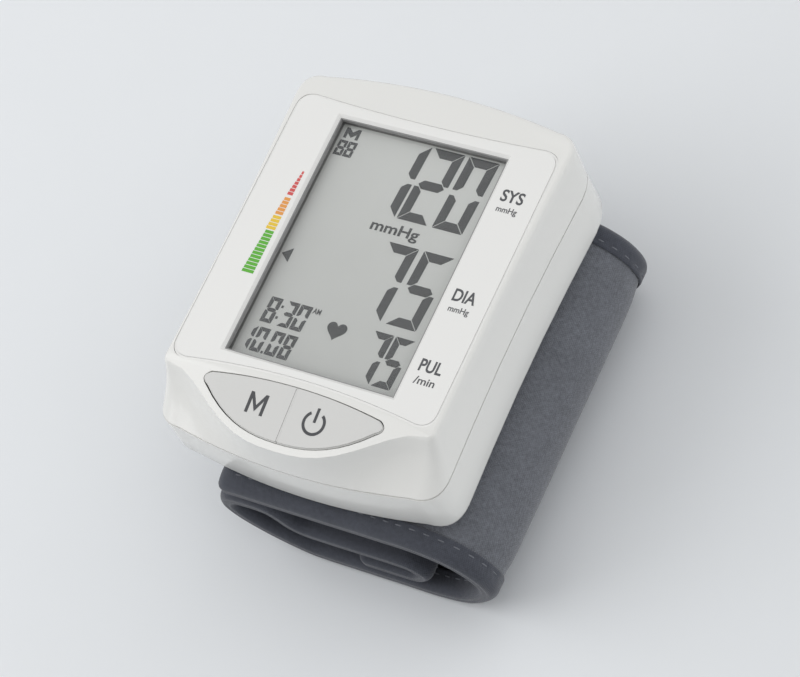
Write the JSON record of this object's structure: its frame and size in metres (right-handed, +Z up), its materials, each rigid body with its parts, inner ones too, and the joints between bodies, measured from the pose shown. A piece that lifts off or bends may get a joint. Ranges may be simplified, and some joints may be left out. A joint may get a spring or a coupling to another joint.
{
  "type": "wrist blood pressure monitor",
  "caption": "Wrist blood pressure monitor: flat case with a framed display, lens-shaped press buttons and a sliding battery door, on a rolled-up fabric cuff.",
  "frame": {"origin": "under the middle of the whole part's box, on the surface the cuff rests on", "axes": "+X across the display to its right, +Y towards the display's upper end, +Z up out of the display's face"},
  "size_m": [0.0654, 0.0786, 0.0452],
  "materials": {
    "case_plastic": "glossy moulded off-white",
    "plate_plastic": "glossy off-white face",
    "button_plastic": "fine satin",
    "lens": "clear polished",
    "lcd": "grey reflective display",
    "inner_plastic": "moulded",
    "board": "solder mask green",
    "dark_part": "moulded black",
    "steel": "plain",
    "contact_metal": "plated",
    "cell": "satin sleeve",
    "soft_rubber": "soft",
    "cuff_cloth": "brushed knit",
    "cuff_inner_cloth": "brushed knit",
    "binding": "stitched edge",
    "bladder": "soft",
    "foam": "open foam"
  },
  "bodies": {
    "monitor": {"front_housing": "case_plastic", "rear_housing": "case_plastic", "display_plate": "plate_plastic", "display_lens": "lens", "lcd_glass": "lcd", "lcd_holder": "inner_plastic", "air_manifold": "inner_plastic", "cuff_nozzle": "inner_plastic", "stiffener_band": "inner_plastic", "main_board": "board", "main_chip": "dark_part", "capacitor": "dark_part", "buzzer": "dark_part", "pressure_sensor": "dark_part", "memory_switch_body": "dark_part", "power_switch_body": "dark_part", "contact_strip": "dark_part", "pump_head": "dark_part", "valve_body": "dark_part", "case_screw_1": "steel", "case_screw_2": "steel", "case_screw_3": "steel", "case_screw_4": "steel", "board_screw_1": "steel", "board_screw_2": "steel", "battery_spring_1": "steel", "battery_spring_2": "steel", "clock_crystal": "steel", "pump_motor": "steel", "bridge_contact": "contact_metal", "positive_contact": "contact_metal", "negative_contact": "contact_metal", "battery_1": "cell", "battery_2": "cell", "pump_tube": "soft_rubber", "valve_tube": "soft_rubber", "sensor_tube": "soft_rubber", "pump_diaphragm": "soft_rubber", "cuff_outer_fabric": "cuff_cloth", "tail_fabric": "cuff_cloth", "cuff_lining": "cuff_inner_cloth", "tail_lining": "cuff_inner_cloth", "hook_patch": "cuff_inner_cloth", "cuff_near_binding": "binding", "cuff_far_binding": "binding", "tail_near_binding": "binding", "tail_far_binding": "binding", "air_bladder": "bladder", "foam_pad": "foam"},
    "memory_key": {"memory_button": "button_plastic", "memory_switch_plunger": "inner_plastic"},
    "power_key": {"power_button": "button_plastic", "power_switch_plunger": "inner_plastic"},
    "door": {"battery_door": "case_plastic"},
    "rotor": {"motor_shaft": "steel", "pump_crank": "inner_plastic"},
    "valve_core": {"valve_plunger": "steel"}
  },
  "joints": [
    {"name": "memory_press", "type": "slide", "parent": "monitor", "child": "memory_key", "axis": [0, 0, -1], "range_m": [0, 0.0005], "stiffness_N_per_m": 2500, "springref_m": -0.0001},
    {"name": "power_press", "type": "slide", "parent": "monitor", "child": "power_key", "axis": [0, 0, -1], "range_m": [0, 0.0005], "stiffness_N_per_m": 2500, "springref_m": -0.0001},
    {"name": "door_slide", "type": "slide", "parent": "monitor", "child": "door", "axis": [-1, 0, 0], "range_m": [0, 0.014]},
    {"name": "rotor_spin", "type": "hinge", "parent": "monitor", "child": "rotor", "pos_m": [0.01458, 0.00831, 0.0316], "axis": [0, 1, 0], "continuous": true},
    {"name": "valve_stroke", "type": "slide", "parent": "monitor", "child": "valve_core", "axis": [0, -1, 0], "range_m": [0, 0.0008], "stiffness_N_per_m": 600, "springref_m": -0.0005}
  ]
}
